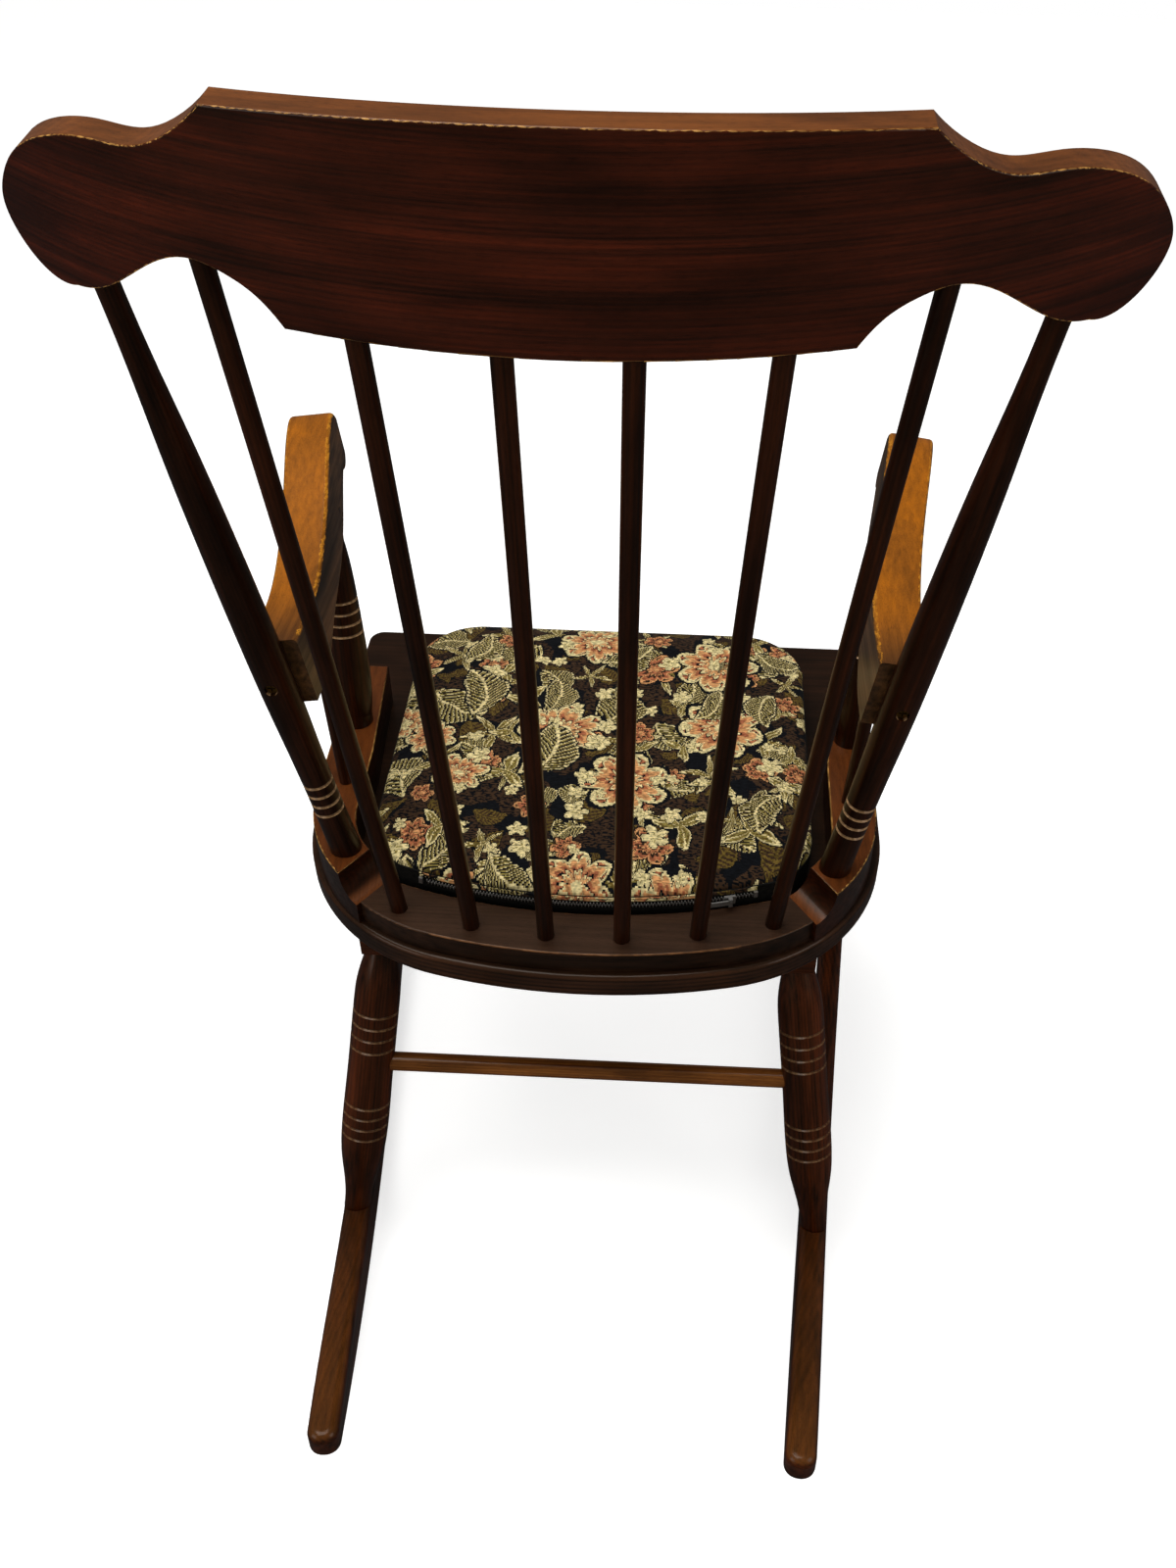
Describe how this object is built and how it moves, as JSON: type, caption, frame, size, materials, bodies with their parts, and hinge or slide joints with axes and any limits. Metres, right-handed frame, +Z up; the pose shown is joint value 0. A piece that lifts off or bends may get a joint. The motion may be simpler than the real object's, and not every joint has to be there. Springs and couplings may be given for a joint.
{
  "type": "rocking chair",
  "caption": "Wooden rocking chair with a spindle back, shaped crest rail, sawn arms, turned legs, curved rockers and a loose zipped seat cushion",
  "frame": {"origin": "on the floor, in the middle of the rockers' length and between the two rockers", "axes": "+X to the sitter's left, +Y to the back of the chair, +Z up; the sitter faces -Y"},
  "size_m": [0.664, 0.7564, 0.9677],
  "materials": {
    "crest_wood": "satin",
    "arm_wood": "satin, worn",
    "seat_wood": "satin",
    "block_wood": "satin",
    "dark_turned_wood": "satin",
    "leg_wood": "satin",
    "brass_screws": "dulled",
    "steel_screws": "plain",
    "tapestry": "woven",
    "zip_tape": "woven",
    "zip_metal": "polished"
  },
  "bodies": {
    "chair": {"crest_rail": "crest_wood", "back_post_left": "dark_turned_wood", "back_post_right": "dark_turned_wood", "back_spindle_1": "dark_turned_wood", "back_spindle_2": "dark_turned_wood", "back_spindle_3": "dark_turned_wood", "back_spindle_4": "dark_turned_wood", "back_spindle_5": "dark_turned_wood", "back_spindle_6": "dark_turned_wood", "seat_board": "seat_wood", "seat_rear_rim": "block_wood", "side_block_left": "block_wood", "side_block_right": "block_wood", "arm_left": "arm_wood", "arm_right": "arm_wood", "arm_support_left": "dark_turned_wood", "arm_support_right": "dark_turned_wood", "arm_spindle_left": "dark_turned_wood", "arm_spindle_right": "dark_turned_wood", "arm_screws": "brass_screws", "rear_bearer": "leg_wood", "front_bearer": "leg_wood", "rear_leg_left": "leg_wood", "rear_leg_right": "leg_wood", "front_leg_left": "leg_wood", "front_leg_right": "leg_wood", "rear_stretcher": "leg_wood", "front_stretcher": "leg_wood", "rocker_left": "leg_wood", "rocker_right": "leg_wood", "block_screws": "steel_screws", "bearer_screws": "steel_screws"},
    "cushion": {"cushion": "tapestry", "zip_tape": "zip_tape", "zip_chain": "zip_metal", "zip_stops": "zip_metal"},
    "zip_slider": {"zip_slider": "zip_metal"},
    "zip_tab": {"zip_tab": "zip_metal"}
  },
  "joints": [
    {"name": "cushion_lift", "type": "slide", "parent": "chair", "child": "cushion", "axis": [0, 0.0872, 0.9962], "range_m": [0, 0.12]},
    {"name": "zip_slider_run", "type": "hinge", "parent": "cushion", "child": "zip_slider", "pos_m": [0, -0.353, 0.41967], "axis": [0, 0.0872, 0.9962], "range_deg": [-28.5, 0]},
    {"name": "zip_tab_swing", "type": "hinge", "parent": "zip_slider", "child": "zip_tab", "pos_m": [-0.11072, 0.0894, 0.38096], "axis": [0, 0.0872, 0.9962], "range_deg": [0, 35]}
  ]
}
